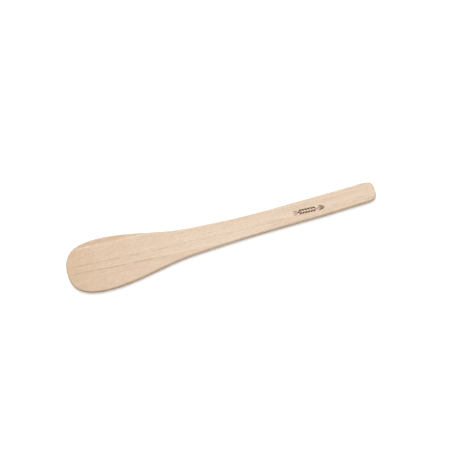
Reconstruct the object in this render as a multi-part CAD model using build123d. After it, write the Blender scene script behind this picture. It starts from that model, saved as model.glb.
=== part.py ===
from build123d import *
from math import cos, hypot, radians, sin
import os

# One-piece beech spatula for a bakery or pastry kitchen, with a small burnt-in wheat ear.
#
# The spatula is cut from a single board. A broad rounded blade narrows through a neck into a flat straight
# handle. All long edges are eased by the same radius, and the blade thins on both faces towards its tip.
#
# Frame: +X along the stick towards the handle's end, +Y across, +Z up. The underside lies on Z = 0, and the
# origin is halfway along the stick. All sizes are in millimetres.

# ---- the stick in plan ----
overall_length = 350.0
blade_width = 60.5
blade_widest_from_tip = 40.0
tip_fullness = 0.70         # 0.55 rounds the tip like an ellipse; more makes its corners fuller
blade_shoulder_width = 54.7
blade_shoulder_from_tip = 70.0
flare_width = 43.3
flare_from_tip = 99.0
throat_width = 34.2
throat_from_tip = 124.0
neck_width = 29.6
neck_from_tip = 152.0
taper_middle_width = 25.4   # halfway between the neck and the start of the grip
grip_start_width = 23.7
grip_start_from_end = 118.0
grip_width = 23.9
grip_from_end = 60.0
handle_end_width = 23.1
end_round_length = 15.0     # how far the rounded end reaches back along the stick
end_fullness = 0.83
crook = 2.7                 # how far both ends of the centreline lie to the +Y side of its middle

# ---- the stick in side view ----
handle_thickness = 7.0
tip_thickness = 3.6
thinning_length = 125.0     # the stretch of blade, from the tip, that thins evenly on both faces
edge_radius = 1.2           # the hand-eased long edges, above and below
edge_share_limit = 0.45     # an eased edge takes no more than this share of the thinnest wood

# ---- the burnt wheat ear on the handle ----
mark_from_end = 78.5        # middle of the mark to the handle's end
mark_side_offset = -1.8     # from the centreline, towards -Y
mark_tilt = -2.9            # degrees; the iron was not held quite square
burn_depth = 0.30
char_thickness = 0.12       # charred skin left on the floor of the burn
ink_gap = 0.40              # bare wood kept between the strokes, at the least
row_gap = 0.05              # except here: between neighbouring kernels of a row, at the least
kernel_length = 3.4
kernel_width = 1.55
kernel_lean = 31.0          # degrees between a kernel and the stalk
kernel_pairs = 6
awn_length = 4.4
awn_width = 0.55
awn_lean = 16.0
stalk_length = 9.7
stalk_width = 0.75
leaf_length = 6.0
leaf_width = 1.2
leaf_lean = 14.0

tip_x = -overall_length / 2
end_x = overall_length / 2


def centreline_y(x):
    """Y of the slightly crooked centreline: a parabola through the origin."""
    return crook * (x / (overall_length / 2)) ** 2


def on_edge(x, half_width, side):
    """A point of the outline, at a distance from the centreline on the side +1 or -1."""
    return (x, centreline_y(x) + side * half_width)


def centreline_slope(x):
    return 2 * crook * x / (overall_length / 2) ** 2


def flank(side):
    """One long edge, from the widest part of the blade to where the handle's end begins to round."""
    neck_x = tip_x + neck_from_tip
    grip_start_x = end_x - grip_start_from_end
    stations = [
        (tip_x + blade_widest_from_tip, blade_width),
        (tip_x + blade_shoulder_from_tip, blade_shoulder_width),
        (tip_x + flare_from_tip, flare_width),
        (tip_x + throat_from_tip, throat_width),
        (neck_x, neck_width),
        ((neck_x + grip_start_x) / 2, taper_middle_width),
        (grip_start_x, grip_start_width),
        (end_x - grip_from_end, grip_width),
        (end_x - end_round_length, handle_end_width),
    ]
    points = [on_edge(x, width / 2, side) for x, width in stations]
    ends = [(1, centreline_slope(x)) for x in (points[0][0], points[-1][0])]
    return Spline(*points, tangents=ends)


def rounded_quarter(start_x, nose_x, half_width, fullness, side):
    """A quarter of a rounded end: from the long edge at start_x round to the centreline at nose_x."""
    reach = nose_x - start_x

    def place(along, across):
        y = centreline_y(start_x) + centreline_slope(start_x) * along + side * across
        return (start_x + along, y)

    return Bezier(
        place(0, half_width),
        place(fullness * reach, half_width),
        place(reach, fullness * half_width),
        place(reach, 0),
    )


def plan():
    """The outline seen from above, as a face."""
    edges = []
    for side in (1, -1):
        widest_x = tip_x + blade_widest_from_tip
        end_start_x = end_x - end_round_length
        edges.append(flank(side))
        edges.append(rounded_quarter(widest_x, tip_x, blade_width / 2, tip_fullness, side))
        edges.append(rounded_quarter(end_start_x, end_x, handle_end_width / 2, end_fullness, side))
    return make_face(edges)


def side_view():
    """The stick seen along Y: flat from the neck to the end, thinning evenly on both faces to the tip."""
    margin = 10.0  # past the tip and the end, so that the plan alone sets the length
    thinning_start_x = tip_x + thinning_length
    front_x = tip_x - margin
    back_x = end_x + margin
    face_drop_at_tip = (handle_thickness - tip_thickness) / 2
    face_drop = face_drop_at_tip * ((thinning_length + margin) / thinning_length) ** 2

    def thinned_face(level, drop):
        """A parabola that leaves the flat level without a crease and drops towards the tip."""
        turning_x = (front_x + thinning_start_x) / 2
        return Bezier((front_x, level - drop), (turning_x, level), (thinning_start_x, level))

    return make_face(
        [
            thinned_face(handle_thickness, face_drop),
            Line((thinning_start_x, handle_thickness), (back_x, handle_thickness)),
            Line((back_x, handle_thickness), (back_x, 0)),
            Line((back_x, 0), (thinning_start_x, 0)),
            thinned_face(0, -face_drop),
            Line((front_x, face_drop), (front_x, handle_thickness - face_drop)),
        ]
    )


def blank():
    """The shaped stick with its edges eased, before the mark is burnt in."""
    board = extrude(plan(), handle_thickness)
    profile = Plane.XZ * side_view()
    wedge = extrude(profile, blade_width, both=True)
    stick = board & wedge
    rims = [e for e in stick.edges() if runs_along_rim(e)]
    return fillet(rims, min(edge_radius, edge_share_limit * tip_thickness))


def runs_along_rim(edge):
    """False for upright seams and for the seam across the stick where the thinning starts."""
    return edge.bounding_box().size.X > edge_radius


def stroke(length, width, foot, lean):
    """A pointed-oval stroke of the mark: it grows from its foot towards -X, turned by lean degrees."""
    middle = Pos(-length / 2, 0)
    return Pos(*foot) * Rot(0, 0, lean) * middle * Ellipse(length / 2, width / 2)


def ear():
    """The wheat ear as flat strokes: its awns point to the blade, its stalk to the handle's end."""
    kernel_pitch = (kernel_width + row_gap) / sin(radians(kernel_lean))
    head_length = awn_length + ink_gap + kernel_length + (kernel_pairs - 0.5) * kernel_pitch
    mark_length = head_length + ink_gap + stalk_length
    awn_foot_x = awn_length - mark_length / 2
    top_kernel_foot_x = awn_foot_x + ink_gap + kernel_length
    strokes = [
        stroke(awn_length, awn_width, (awn_foot_x, 0), 0),
        stroke(kernel_length, kernel_width, (top_kernel_foot_x, 0), 0),
        Pos((mark_length - stalk_length) / 2, 0) * SlotOverall(stalk_length, stalk_width),
    ]
    kernel_foot_y = ink_gap / 2 + kernel_width / 2 * cos(radians(kernel_lean))
    awn_foot_y = ink_gap + awn_width + kernel_width / 4
    leaf_rise = leaf_length / 2 * sin(radians(leaf_lean))
    leaf_dip = hypot(leaf_rise, leaf_width / 2 * cos(radians(leaf_lean))) - leaf_rise
    leaf_foot_y = stalk_width / 2 + ink_gap + leaf_dip
    for side in (1, -1):
        outer_awn_foot = (awn_foot_x + ink_gap, side * awn_foot_y)
        strokes.append(stroke(awn_length, awn_width, outer_awn_foot, -side * awn_lean))
        for pair in range(kernel_pairs):
            foot = (top_kernel_foot_x + (pair + 0.5) * kernel_pitch, side * kernel_foot_y)
            strokes.append(stroke(kernel_length, kernel_width, foot, -side * kernel_lean))
        leaf_foot = (mark_length / 2 - stalk_width, side * leaf_foot_y)
        strokes.append(stroke(leaf_length, leaf_width, leaf_foot, -side * leaf_lean))
    return strokes


def mark_solids(bottom, top):
    """The strokes as prisms on the handle, between two heights."""
    x = end_x - mark_from_end
    place = Pos(x, centreline_y(x) + mark_side_offset, bottom) * Rot(0, 0, mark_tilt)
    return [extrude(place * flat, top - bottom) for flat in ear()]


def main():
    os.makedirs("parts", exist_ok=True)
    floor = handle_thickness - burn_depth
    body = blank()
    for cut in mark_solids(floor, handle_thickness + burn_depth):
        body -= cut
    char = Compound(children=mark_solids(floor, floor + char_thickness))
    export_step(body, "parts/spatula_body.step")
    export_step(char, "parts/burnt_mark.step")
    size = body.bounding_box().size
    print(f"spatula body {size.X:.1f} x {size.Y:.1f} x {size.Z:.1f} mm, {body.volume / 1000:.1f} cm3")


main()
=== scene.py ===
import math

import bmesh
import bpy
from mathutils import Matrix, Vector
from mathutils.kdtree import KDTree


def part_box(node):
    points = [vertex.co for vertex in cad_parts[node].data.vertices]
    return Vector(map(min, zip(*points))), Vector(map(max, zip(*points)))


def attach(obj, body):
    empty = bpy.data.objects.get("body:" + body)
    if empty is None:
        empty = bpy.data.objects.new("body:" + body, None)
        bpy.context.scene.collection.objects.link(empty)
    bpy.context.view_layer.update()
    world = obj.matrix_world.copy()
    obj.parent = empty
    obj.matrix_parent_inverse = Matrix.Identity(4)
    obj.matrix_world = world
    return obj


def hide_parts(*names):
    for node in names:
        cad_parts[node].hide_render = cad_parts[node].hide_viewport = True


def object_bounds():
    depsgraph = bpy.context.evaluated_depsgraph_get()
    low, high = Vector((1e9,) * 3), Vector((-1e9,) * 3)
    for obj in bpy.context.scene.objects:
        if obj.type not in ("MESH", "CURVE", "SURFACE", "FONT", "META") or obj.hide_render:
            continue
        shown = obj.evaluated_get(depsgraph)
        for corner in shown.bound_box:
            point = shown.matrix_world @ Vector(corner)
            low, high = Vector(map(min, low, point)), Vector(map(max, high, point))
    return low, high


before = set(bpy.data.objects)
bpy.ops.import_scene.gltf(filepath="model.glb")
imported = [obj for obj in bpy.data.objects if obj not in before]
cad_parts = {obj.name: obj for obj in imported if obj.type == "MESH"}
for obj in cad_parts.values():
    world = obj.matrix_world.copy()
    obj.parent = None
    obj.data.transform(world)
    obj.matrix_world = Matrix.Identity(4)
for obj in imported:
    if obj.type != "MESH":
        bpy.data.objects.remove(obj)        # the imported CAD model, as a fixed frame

mm = 0.001
weldReach = 0.002 * mm       # CAD points nearer to each other than this are one point
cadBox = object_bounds()         # the CAD box, kept before anything is added
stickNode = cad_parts["spatula_body"]
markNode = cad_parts["burnt_mark"]
markLow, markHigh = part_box("burnt_mark")


# small helpers for working in edit mode

def clearSelection():
    if bpy.context.mode != "OBJECT":
        bpy.ops.object.mode_set(mode="OBJECT")
    bpy.ops.object.select_all(action="DESELECT")


def makeActive(piece):
    clearSelection()
    piece.select_set(True)
    bpy.context.view_layer.objects.active = piece


def openForEditing(piece, mode="FACE"):
    makeActive(piece)
    bpy.ops.object.mode_set(mode="EDIT")
    bpy.ops.mesh.select_mode(type=mode)
    bpy.ops.mesh.select_all(action="DESELECT")


def pick(piece, kind, wanted):
    # selects the verts, edges or faces for which wanted is true, and nothing else
    work = bmesh.from_edit_mesh(piece.data)
    work.normal_update()
    for face in work.faces:
        face.select = False
    for edge in work.edges:
        edge.select = False
    for vert in work.verts:
        vert.select = False
    for element in getattr(work, kind):
        element.select = wanted(element)
    work.select_flush_mode()
    bmesh.update_edit_mesh(piece.data)


def applyModifiers(piece):
    makeActive(piece)
    for modifier in list(piece.modifiers):
        bpy.ops.object.modifier_apply(modifier=modifier.name)


def meshCopy(node, name):
    # a merged copy of a CAD node, so that the node itself is left alone
    piece = bpy.data.objects.new(name, node.data.copy())
    bpy.context.scene.collection.objects.link(piece)
    piece.data.materials.clear()
    openForEditing(piece, "VERT")
    bpy.ops.mesh.select_all(action="SELECT")
    bpy.ops.mesh.remove_doubles(threshold=weldReach)
    bpy.ops.object.mode_set(mode="OBJECT")
    return piece


# the stick: a slab drawn out ring by ring along the CAD outline, then fitted to the CAD surface

stick = {
    "tipRounding": 40 * mm,      # how far back from the tip the outline is still turning
    "tipRings": 13,
    "endRounding": 18 * mm,
    "endRings": 9,
    "straightStep": 9 * mm,
    "cellsAcross": 10,
    "cellsThrough": 4,
    "smoothing": 2,
    "wave": 0.05 * mm,           # hand-sanded unevenness, always inwards
    "waveLength": 26 * mm,
    "markMargin": 2.0 * mm,      # how far round the mark the mesh is made finer
    "markCuts": 5,
    "markRim": 0.06 * mm,        # softened lip of the burnt strokes
    "cutterGrowth": 8,           # the strokes cut as the char made this many times as thick
    "lipDepth": 0.15 * mm,       # the strokes' upper edges lie above this depth
    "tinyEdge": 0.0005 * mm,
    "scorchReach": 0.9 * mm,     # how far the browning beside a stroke goes
    "sharpAngle": 35,
}


def ringPlaces():
    tip, end = cadBox[0][0], cadBox[1][0]
    places = []
    for i in range(1, stick["tipRings"] + 1):
        angle = math.radians(90 * i / stick["tipRings"])
        places.append(tip + stick["tipRounding"] * (1 - math.cos(angle)))
    straightEnd = end - stick["endRounding"]
    count = round((straightEnd - places[-1]) / stick["straightStep"])
    start = places[-1]
    for i in range(1, count):
        places.append(start + (straightEnd - start) * i / count)
    for i in range(stick["endRings"], 0, -1):
        angle = math.radians(90 * i / stick["endRings"])
        places.append(end - stick["endRounding"] * (1 - math.cos(angle)))
    return places


def sectionAt(x):
    # near and far edge and lower and upper face of the CAD stick at x
    middle = (cadBox[0][2] + cadBox[1][2]) / 2
    outside = 100 * mm

    def hit(start, direction):
        return stickNode.ray_cast(Vector(start), Vector(direction))[1]

    near = hit((x, -outside, middle), (0, 1, 0)).y
    far = hit((x, outside, middle), (0, -1, 0)).y
    y = (near + far) / 2 + (far - near) * 0.3      # off the middle, clear of the burnt strokes
    top = hit((x, y, outside), (0, 0, -1)).z
    bottom = hit((x, y, -outside), (0, 0, 1)).z
    return near, far, bottom, top


def drawSlab():
    places = ringPlaces()
    near, far, bottom, top = sectionAt(places[0])
    clearSelection()
    bpy.ops.mesh.primitive_grid_add(
        x_subdivisions=stick["cellsThrough"],
        y_subdivisions=stick["cellsAcross"],
        size=1,
        location=(places[0], (near + far) / 2, (bottom + top) / 2),
        rotation=(0, math.radians(90), 0),
    )
    piece = bpy.context.object
    piece.name = "beech_stick"
    piece.scale = (top - bottom, far - near, 1)
    bpy.ops.object.transform_apply(location=True, rotation=True, scale=True)
    openForEditing(piece)
    bpy.ops.mesh.select_all(action="SELECT")
    for here, there in zip(places, places[1:]):
        nearNext, farNext, bottomNext, topNext = sectionAt(there)
        middle = (there, (nearNext + farNext) / 2, (bottomNext + topNext) / 2)
        step = (there - here, middle[1] - (near + far) / 2, middle[2] - (bottom + top) / 2)
        grow = (1, (farNext - nearNext) / (far - near), (topNext - bottomNext) / (top - bottom))
        bpy.ops.mesh.extrude_region_move(TRANSFORM_OT_translate={"value": step})
        bpy.ops.transform.resize(value=grow, center_override=middle)
        near, far, bottom, top = nearNext, farNext, bottomNext, topNext
    bpy.ops.mesh.select_all(action="SELECT")
    bpy.ops.mesh.normals_make_consistent(inside=False)
    bpy.ops.object.mode_set(mode="OBJECT")
    return piece


def fitToFrame(piece, target):
    smooth = piece.modifiers.new("smooth", "SUBSURF")
    smooth.levels = stick["smoothing"]
    smooth.render_levels = stick["smoothing"]
    fit = piece.modifiers.new("fit", "SHRINKWRAP")
    fit.target = target
    fit.wrap_method = "NEAREST_SURFACEPOINT"
    applyModifiers(piece)


def plainTarget():
    # the CAD stick with its burnt recess filled level, so that the fit doesn't dip into the strokes
    piece = meshCopy(stickNode, "fit_target")
    top = cadBox[1][2]
    openForEditing(piece, "VERT")
    pick(piece, "verts", lambda v: inMark(v.co, mm) and v.co.z > top - mm)
    bpy.ops.transform.resize(value=(1, 1, 0), center_override=(0, 0, top))
    bpy.ops.object.mode_set(mode="OBJECT")
    return piece


def roughen(piece):
    cloud = bpy.data.textures.new("sanding", "CLOUDS")
    cloud.noise_scale = stick["waveLength"]
    cloud.noise_depth = 1
    wave = piece.modifiers.new("wave", "DISPLACE")
    wave.texture = cloud
    wave.texture_coords = "LOCAL"
    wave.strength = stick["wave"]
    wave.mid_level = 1.0
    applyModifiers(piece)


def inMark(point, margin):
    return all(markLow[i] - margin < point[i] < markHigh[i] + margin for i in (0, 1))


def burnStrokes(piece):
    top = cadBox[1][2]
    floor = markLow[2]
    openForEditing(piece)
    pick(
        piece,
        "faces",
        lambda f: f.normal.z > 0.9 and inMark(f.calc_center_median(), stick["markMargin"]),
    )
    bpy.ops.mesh.subdivide(number_cuts=stick["markCuts"])
    bpy.ops.object.mode_set(mode="OBJECT")
    cutter = meshCopy(markNode, "burn_cutter")
    openForEditing(cutter, "VERT")
    bpy.ops.mesh.select_all(action="SELECT")
    bpy.ops.transform.resize(value=(1, 1, stick["cutterGrowth"]), center_override=(0, 0, floor))
    bpy.ops.object.mode_set(mode="OBJECT")
    burn = piece.modifiers.new("burn", "BOOLEAN")
    burn.operation = "DIFFERENCE"
    burn.solver = "MANIFOLD"
    burn.object = cutter
    applyModifiers(piece)
    bpy.data.objects.remove(cutter)
    openForEditing(piece, "EDGE")

    def lip(edge):
        # between the upper face and a stroke's upright wall
        if len(edge.link_faces) != 2 or not inMark(edge.verts[0].co, 0.2 * mm):
            return False
        wall, face = sorted(side.normal.z for side in edge.link_faces)
        return wall < 0.4 and face > 0.8 and edge.verts[0].co.z > top - stick["lipDepth"]

    pick(piece, "edges", lip)
    bpy.ops.mesh.bevel(offset=stick["markRim"], segments=1, affect="EDGES", clamp_overlap=True)
    bpy.ops.mesh.select_all(action="SELECT")
    bpy.ops.mesh.dissolve_degenerate(threshold=stick["tinyEdge"])
    bpy.ops.object.mode_set(mode="OBJECT")


def paintScorch(piece):
    # how near each vertex is to a burnt stroke: 1 at the stroke, 0 a little way off
    reach = stick["scorchReach"]
    source = markNode.data
    tree = KDTree(len(source.vertices))
    for vert in source.vertices:
        tree.insert((vert.co.x, vert.co.y, 0), vert.index)
    tree.balance()
    layer = piece.data.attributes.new("scorch", "FLOAT", "POINT")
    for vert in piece.data.vertices:
        if inMark(vert.co, 2 * reach) and vert.co.z > cadBox[1][2] - mm:
            distance = tree.find((vert.co.x, vert.co.y, 0))[2]
            layer.data[vert.index].value = max(0.0, 1 - distance / reach)


print("stage: stick")
fitTarget = plainTarget()
stickPiece = drawSlab()
fitToFrame(stickPiece, fitTarget)
bpy.data.objects.remove(fitTarget)
roughen(stickPiece)
burnStrokes(stickPiece)
paintScorch(stickPiece)
makeActive(stickPiece)
bpy.ops.object.shade_smooth_by_angle(angle=math.radians(stick["sharpAngle"]))
print("stick faces", len(stickPiece.data.polygons))


# the char: a thin crazed skin on the floor of each stroke

char = {
    "voxel": 0.07 * mm,
    "crackSize": 0.35 * mm,
    "crackDepth": 0.05 * mm,
    "dark": (50, 33, 21),
    "light": (100, 72, 50),
    "crust": (30, 20, 14),
    "fadeReach": 18,             # mm to each side of the mark's middle, over which it lightens
    "bump": (0.6, 0.04 * mm),
}


def growChar():
    piece = meshCopy(markNode, "char_strokes")
    remesh = piece.modifiers.new("skin", "REMESH")
    remesh.mode = "VOXEL"
    remesh.voxel_size = char["voxel"]
    cloud = bpy.data.textures.new("crazing", "VORONOI")
    cloud.noise_scale = char["crackSize"]
    crack = piece.modifiers.new("crack", "DISPLACE")
    crack.texture = cloud
    crack.texture_coords = "LOCAL"
    crack.direction = "Z"
    crack.strength = -char["crackDepth"]
    crack.mid_level = 0.0
    applyModifiers(piece)
    return piece


print("stage: char")
charPiece = growChar()
makeActive(charPiece)
bpy.ops.object.shade_smooth()
print("char faces", len(charPiece.data.polygons))


# materials

class NodeBench:
    # adds nodes to a material and links them, one call each
    def __init__(self, name):
        self.material = bpy.data.materials.new(name)
        self.material.use_nodes = True
        self.tree = self.material.node_tree
        self.shader = self.tree.nodes["Principled BSDF"]

    def join(self, source, target):
        if hasattr(source, "is_linked"):
            self.tree.links.new(source, target)
        else:
            target.default_value = source

    def add(self, kind, outputName=None, inputs=(), **settings):
        node = self.tree.nodes.new(kind)
        for key, value in settings.items():
            setattr(node, key, value)
        for place, value in dict(inputs).items():
            self.join(value, node.inputs[place])
        return node.outputs[outputName] if outputName else node

    def math(self, operation, first, second=0.0, third=0.0):
        return self.add("ShaderNodeMath", "Value", {0: first, 1: second, 2: third}, operation=operation)

    def range(self, value, low, high, outLow=0.0, outHigh=1.0, shape="SMOOTHSTEP"):
        inputs = {"Value": value, "From Min": low, "From Max": high, "To Min": outLow, "To Max": outHigh}
        return self.add("ShaderNodeMapRange", "Result", inputs, interpolation_type=shape)

    def noise(self, vector, scale, detail=2.0, roughness=0.5):
        inputs = {"Vector": vector, "Scale": scale, "Detail": detail, "Roughness": roughness}
        return self.add("ShaderNodeTexNoise", "Fac", inputs)

    def stretch(self, vector, scale, location=(0, 0, 0)):
        inputs = {"Vector": vector, "Scale": scale, "Location": location}
        return self.add("ShaderNodeMapping", "Vector", inputs)

    def lineNoise(self, position, scale):
        inputs = {"W": position, "Scale": scale, "Detail": 2.0}
        return self.add("ShaderNodeTexNoise", "Fac", inputs, noise_dimensions="1D")

    def vector(self, x, y, z):
        return self.add("ShaderNodeCombineXYZ", "Vector", {"X": x, "Y": y, "Z": z})

    def bump(self, height, strength, distance):
        inputs = {"Height": height, "Strength": strength, "Distance": distance}
        self.join(self.add("ShaderNodeBump", "Normal", inputs), self.shader.inputs["Normal"])

    def blend(self, factor, first, second, mode="MIX"):
        node = self.add("ShaderNodeMix", None, data_type="RGBA", blend_type=mode)
        self.join(factor, node.inputs["Factor"])
        colourInputs = [socket for socket in node.inputs if socket.type == "RGBA"]
        self.join(first, colourInputs[0])
        self.join(second, colourInputs[1])
        return next(socket for socket in node.outputs if socket.type == "RGBA")


def tone(red, green, blue):
    # a colour written as 0-255 screen values, in the linear values that the nodes take
    def linear(value):
        share = value / 255
        return share / 12.92 if share <= 0.04045 else ((share + 0.055) / 1.055) ** 2.4

    return (linear(red), linear(green), linear(blue), 1.0)


beech = {
    "pale": tone(240, 219, 197),
    "base": tone(233, 211, 188),
    "deep": tone(226, 198, 170),
    "tip": tone(216, 182, 147),
    "fleck": tone(190, 155, 124),
    "endGrain": tone(206, 176, 146),
    # painted shade on the upright sides round the nose, partly end grain
    "noseShadeTone": tone(166, 133, 104),
    # painted light on the neck's upright sides
    "neckLightTone": tone(250, 233, 214),
    "streak": tone(200, 168, 138),
    "sapLine": tone(240, 220, 201),
    "outerBand": tone(217, 186, 153),
    "scorch": tone(170, 128, 94),
    "pit": tone(150, 124, 100),
    "crook": 2.7,                # mm by which both ends lie to the +Y side of the middle
    "drift": 0.035,              # how fast the rings slide towards -Y along the stick
    "ringTilt": 0.9,             # and through its thickness
    "yearWidth": 2.6,
    "bladeShade": (190, 0.80),   # how far from the tip the blade's darker colour reaches, and its strength: partly the wood's own tone, partly painted shade
    # the tip's darker, yellower tone is partly painted shade as well
    "tipShade": (45, 0.42),
    "noseSideShade": (80, 10, 0.6),  # where it starts and is full, from the tip, and its strength
    "neckSideLight": (165, 45, 5, 0.6),    # its middle from the tip, its outer and inner reach, its strength
    "fibreShade": (0.84, 1.14),
    "fleckShade": 0.50,
    "bump": (0.35, 0.06 * mm),   # strength and height of the relief
}

# each streak: its tone, its place across at the tip and its slope, half its width,
# where it starts and ends from the tip, and its strength
streaks = [
    ("streak", -3.8, -0.056, 0.65, 0, 108, 0.80),
    ("streak", 4.0, -0.044, 0.55, 1, 124, 0.58),
    ("streak", -11.8, -0.047, 0.45, 8, 90, 0.30),
    ("streak", 12.3, -0.042, 0.50, 20, 110, 0.26),
    ("sapLine", 23.8, -0.028, 0.85, 14, 98, 1.0),
    ("outerBand", 27.4, -0.028, 2.40, 12, 100, 0.92),
    ("streak", 25.2, -0.120, 0.45, 215, 252, 0.46),
    ("streak", -3.7, -0.001, 0.45, 246, 345, 0.56),
    ("deep", -7.7, 0.0, 3.40, 225, 350, 0.58),
    ("streak", 3.5, 0.004, 0.40, 150, 330, 0.24),
]

# dark pin pits near the handle's end: distance from the tip, distance across, and size
pits = [(346.8, 7.9, 0.8), (339.2, -8.1, 0.7), (347.6, -4.6, 0.6), (345.4, -7.9, 0.6)]


def beechWood():
    bench = NodeBench("beech_wood")
    place = bench.add("ShaderNodeTexCoord")
    grain = bench.stretch(place.outputs["Object"], (1 / mm,) * 3)      # millimetres from here on
    split = bench.add("ShaderNodeSeparateXYZ", None, {"Vector": grain})
    x, y, z = split.outputs["X"], split.outputs["Y"], split.outputs["Z"]
    halfLength = cadBox[1][0] / mm
    fromTip = bench.math("ADD", x, halfLength)
    bend = bench.math("POWER", bench.math("DIVIDE", x, halfLength), 2.0)
    bend = bench.math("MULTIPLY", bend, beech["crook"])
    across = bench.math("SUBTRACT", y, bend)
    wander = bench.noise(bench.stretch(grain, (1 / 70, 1 / 38, 1 / 20)), 1.0, 2.0)
    wandered = bench.math("MULTIPLY_ADD", bench.math("SUBTRACT", wander, 0.5), 4.0, across)
    drift = bench.math("MULTIPLY_ADD", fromTip, beech["drift"], wandered)
    ring = bench.math("MULTIPLY_ADD", z, beech["ringTilt"], drift)

    # broad bands of growth, and the fine line that ends each year
    broad = bench.lineNoise(ring, 0.11)
    narrow = bench.lineNoise(ring, 0.55)
    uneven = bench.math("MULTIPLY_ADD", bench.math("SUBTRACT", broad, 0.5), 5.0, ring)
    year = bench.math("FRACT", bench.math("DIVIDE", uneven, beech["yearWidth"]))
    lateWood = bench.math("MULTIPLY", bench.range(year, 0.45, 0.93), bench.range(year, 1.0, 0.94))
    bands = bench.math("ADD", bench.math("MULTIPLY", broad, 0.6), bench.math("MULTIPLY", narrow, 0.4))
    colour = bench.blend(bench.range(bands, 0.36, 0.64), beech["deep"], beech["pale"])
    colour = bench.blend(0.45, colour, beech["base"])
    colour = bench.blend(bench.math("MULTIPLY", lateWood, 0.16), colour, beech["streak"])

    # the blade is a little darker than the handle, and its tip darker and yellower: partly the wood's
    # own tone, partly painted shade for the light falling off towards the tip and the thinned blade
    # tilting away from it
    for name, (reach, strength) in (("deep", beech["bladeShade"]), ("tip", beech["tipShade"])):
        colour = bench.blend(bench.range(fromTip, reach, 0, 0.0, strength), colour, beech[name])

    # streaks
    ripple = bench.noise(bench.stretch(grain, (1 / 26, 1 / 9, 1 / 9), (40, 3, 7)), 1.0, 3.0)
    rippled = bench.math("MULTIPLY_ADD", bench.math("SUBTRACT", ripple, 0.5), 1.6, across)
    gaps = bench.noise(bench.stretch(grain, (1 / 11, 1 / 5, 1 / 5), (9, 21, 4)), 1.0, 3.0)
    broken = bench.range(gaps, 0.36, 0.60, 0.35, 1.0)
    for name, atTip, slope, halfWidth, start, end, strength in streaks:
        line = bench.math("MULTIPLY_ADD", fromTip, slope, atTip)
        away = bench.math("ABSOLUTE", bench.math("SUBTRACT", rippled, line))
        core = bench.range(away, halfWidth * 1.7, halfWidth * 0.3)
        fadeIn = bench.range(fromTip, start - 6, start + 10)
        fadeOut = bench.range(fromTip, end + 6, end - 14)
        faded = bench.math("MULTIPLY", bench.math("MULTIPLY", fadeIn, fadeOut), strength)
        amount = bench.math("MULTIPLY", bench.math("MULTIPLY", core, broken), faded)
        colour = bench.blend(amount, colour, beech[name])
    for pitFromTip, pitAcross, size in pits:
        alongPit = bench.math("SUBTRACT", fromTip, pitFromTip)
        acrossPit = bench.math("SUBTRACT", across, pitAcross)
        square = bench.math("POWER", acrossPit, 2.0)
        square = bench.math("ADD", bench.math("POWER", alongPit, 2.0), square)
        colour = bench.blend(bench.range(square, size * size, 0.0, 0.0, 0.8), colour, beech["pit"])

    # fibres, drawn out along the stick
    fibre = bench.noise(bench.stretch(grain, (1 / 24, 1.5, 1.5)), 1.0, 5.0, 0.62)
    fine = bench.noise(bench.stretch(grain, (1 / 7, 4.5, 4.5)), 1.0, 3.0, 0.6)
    fibres = bench.math("ADD", bench.math("MULTIPLY", fibre, 0.6), bench.math("MULTIPLY", fine, 0.4))
    mottle = bench.noise(bench.stretch(grain, (1 / 3.2, 1 / 1.3, 1 / 1.3), (3, 8, 5)), 1.0, 2.0, 0.6)
    shade = bench.math("ADD", bench.math("MULTIPLY", fibres, 0.7), bench.math("MULTIPLY", mottle, 0.3))
    fibreShade = bench.range(shade, 0.34, 0.66, *beech["fibreShade"], "LINEAR")
    colour = bench.blend(1.0, colour, bench.vector(fibreShade, fibreShade, fibreShade), "MULTIPLY")

    # rays: short dashes on the faces, patches on the long edges and upright lines on the end grain
    rays = bench.noise(bench.stretch(grain, (0.42, 2.9, 0.28)), 1.0, 1.0, 0.4)
    fleck = bench.range(rays, 0.60, 0.68)
    colour = bench.blend(bench.math("MULTIPLY", fleck, beech["fleckShade"]), colour, beech["fleck"])

    # end grain drinks more light; painted shade darkens the blade's upright sides round its nose, partly
    # for the end grain there, and painted light makes the neck's upright sides paler
    facing = bench.add("ShaderNodeSeparateXYZ", None, {"Vector": place.outputs["Normal"]})
    endWise = bench.math("ABSOLUTE", facing.outputs["X"])
    colour = bench.blend(bench.range(endWise, 0.35, 1.0, 0.0, 0.55), colour, beech["endGrain"])
    upWise = bench.math("ABSOLUTE", facing.outputs["Z"])
    sideWise = bench.range(upWise, 0.75, 0.25)
    # painted shade: the upright sides made darker towards the nose
    start, full, strength = beech["noseSideShade"]
    nose = bench.math("MULTIPLY", sideWise, bench.range(fromTip, start, full, 0.0, strength))
    colour = bench.blend(nose, colour, beech["noseShadeTone"])
    # painted light: the neck's upright sides made paler
    middle, outer, inner, strength = beech["neckSideLight"]
    fromNeck = bench.math("ABSOLUTE", bench.math("SUBTRACT", fromTip, middle))
    neck = bench.math("MULTIPLY", sideWise, bench.range(fromNeck, outer, inner, 0.0, strength))
    colour = bench.blend(neck, colour, beech["neckLightTone"])
    # painted shade darkens the eased edges, which are also made a little glossier
    rim = bench.math("MULTIPLY", bench.range(upWise, 0.25, 0.6), bench.range(upWise, 0.995, 0.8))
    colour = bench.blend(bench.math("MULTIPLY", rim, 0.25), colour, beech["deep"])

    # the wood browned beside the burn
    scorch = bench.add("ShaderNodeAttribute", "Fac", attribute_name="scorch")
    catching = bench.range(fibres, 0.25, 0.75, 0.35, 0.85)
    browned = bench.math("MULTIPLY", bench.math("POWER", scorch, 1.6), catching)
    colour = bench.blend(browned, colour, beech["scorch"])
    bench.join(colour, bench.shader.inputs["Base Color"])

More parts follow.
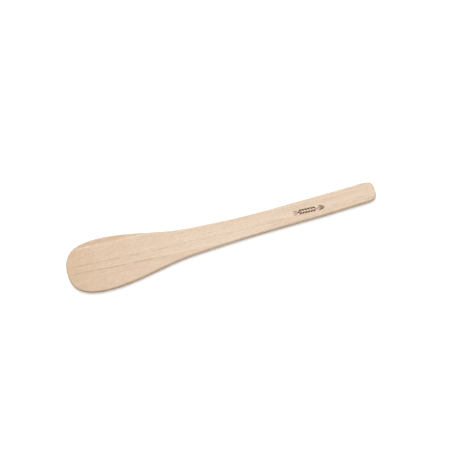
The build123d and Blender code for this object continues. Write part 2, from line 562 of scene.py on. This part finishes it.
    gloss = bench.range(fibres, 0.3, 0.7, 0.66, 0.54, "LINEAR")
    gloss = bench.math("SUBTRACT", gloss, bench.math("MULTIPLY", rim, 0.08))
    bench.join(gloss, bench.shader.inputs["Roughness"])
    bench.shader.inputs["IOR"].default_value = 1.45
    bench.shader.inputs["Specular IOR Level"].default_value = 0.4

    relief = bench.math("SUBTRACT", fibres, bench.math("MULTIPLY", fleck, 0.35))
    relief = bench.math("SUBTRACT", relief, bench.math("MULTIPLY", lateWood, 0.15))
    bench.bump(relief, *beech["bump"])
    return bench.material


def charredWood():
    bench = NodeBench("charred_wood")
    place = bench.add("ShaderNodeTexCoord")
    grain = bench.stretch(place.outputs["Object"], (1 / mm,) * 3)
    split = bench.add("ShaderNodeSeparateXYZ", None, {"Vector": grain})
    patch = bench.noise(bench.stretch(grain, (0.7, 1.4, 1.0)), 1.0, 3.0)
    fibre = bench.noise(bench.stretch(grain, (0.5, 7.0, 7.0)), 1.0, 4.0, 0.65)
    middle = (markLow[0] + markHigh[0]) / 2 / mm
    reach = char["fadeReach"]
    fade = bench.range(split.outputs["X"], middle - reach, middle + reach, 0.0, 0.5, "LINEAR")
    paleness = bench.math("ADD", bench.range(patch, 0.3, 0.7, 0.0, 0.55), fade)
    colour = bench.blend(paleness, tone(*char["dark"]), tone(*char["light"]))
    colour = bench.blend(bench.range(fibre, 0.5, 0.75, 0.0, 0.6), colour, tone(*char["crust"]))
    bench.join(colour, bench.shader.inputs["Base Color"])
    bench.join(bench.range(fibre, 0.3, 0.7, 0.95, 0.75, "LINEAR"), bench.shader.inputs["Roughness"])
    bench.shader.inputs["Specular IOR Level"].default_value = 0.3
    bench.bump(fibre, *char["bump"])
    return bench.material


print("stage: materials")
stickPiece.data.materials.clear()
stickPiece.data.materials.append(beechWood())
charPiece.data.materials.clear()
charPiece.data.materials.append(charredWood())

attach(stickPiece, "root")
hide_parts("spatula_body")
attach(charPiece, "root")
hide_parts("burnt_mark")


# floor, lights and camera

studio = {
    "floorSize": 6.0,
    "floorWhite": 0.80,
    "floorGlow": 0.45,           # added for the camera, so that the lit floor reads as white
    "farGlow": 1.0,              # the same out of the lamp's reach
    "glowRise": (0.4, 1.4),      # where the glow begins and ends to rise, from the middle of the floor
    "worldLight": 0.36,
    "keyPlace": (0.10, 0.50, 1.3),
    "keySize": 0.9,
    "keyPower": 15.1,
}


def layFloor():
    clearSelection()
    bpy.ops.mesh.primitive_plane_add(size=studio["floorSize"], location=(0, 0, cadBox[0][2]))
    floor = bpy.context.object
    floor.name = "floor"
    bench = NodeBench("white_floor")
    bench.shader.inputs["Base Color"].default_value = (studio["floorWhite"],) * 3 + (1.0,)
    bench.shader.inputs["Roughness"].default_value = 0.9
    bench.shader.inputs["Specular IOR Level"].default_value = 0.0
    bench.shader.inputs["Emission Color"].default_value = (1, 1, 1, 1)
    path = bench.add("ShaderNodeLightPath")
    seen = bench.math("MAXIMUM", path.outputs["Is Camera Ray"], path.outputs["Is Glossy Ray"])
    place = bench.add("ShaderNodeTexCoord")
    away = bench.add("ShaderNodeVectorMath", "Value", {0: place.outputs["Object"]}, operation="LENGTH")
    start, end = studio["glowRise"]
    glow = bench.range(away, start, end, studio["floorGlow"], studio["farGlow"])
    bench.join(bench.math("MULTIPLY", seen, glow), bench.shader.inputs["Emission Strength"])
    floor.data.materials.append(bench.material)


def aim(thing, target):
    direction = Vector(target) - thing.location
    thing.rotation_euler = direction.to_track_quat("-Z", "Y").to_euler()


def hangLights():
    world = bpy.data.worlds.new("soft_room")
    bpy.context.scene.world = world
    world.use_nodes = True
    background = world.node_tree.nodes["Background"]
    path = world.node_tree.nodes.new("ShaderNodeLightPath")
    strength = world.node_tree.nodes.new("ShaderNodeMapRange")
    strength.inputs["To Min"].default_value = studio["worldLight"]
    strength.inputs["To Max"].default_value = 1.0
    world.node_tree.links.new(path.outputs["Is Camera Ray"], strength.inputs["Value"])
    world.node_tree.links.new(strength.outputs["Result"], background.inputs["Strength"])
    background.inputs["Color"].default_value = (1, 1, 1, 1)
    key = bpy.data.lights.new("softbox", "AREA")
    key.shape = "SQUARE"
    key.size = studio["keySize"]
    key.energy = studio["keyPower"]
    lamp = bpy.data.objects.new("softbox", key)
    bpy.context.scene.collection.objects.link(lamp)
    lamp.location = studio["keyPlace"]
    aim(lamp, (0, 0, 0))


view = {
    "target": (3.1 * mm, 7.6 * mm),
    "azimuth": -16.19,
    "elevation": 68.0,
    "distance": 1.0929,
    "lens": 80.0,
    "sensor": 36.0,
}


def placeCamera():
    lens = bpy.data.cameras.new("camera")
    lens.lens = view["lens"]
    lens.sensor_width = view["sensor"]
    camera = bpy.data.objects.new("camera", lens)
    bpy.context.scene.collection.objects.link(camera)
    bpy.context.scene.camera = camera
    target = Vector((view["target"][0], view["target"][1], cadBox[1][2]))
    turn, rise = math.radians(view["azimuth"]), math.radians(view["elevation"])
    back = Vector((math.sin(turn) * math.cos(rise), -math.cos(turn) * math.cos(rise), math.sin(rise)))
    camera.location = target + back * view["distance"]
    aim(camera, target)


print("stage: studio")
layFloor()
hangLights()
placeCamera()

scene = bpy.context.scene
scene.view_settings.view_transform = "Standard"
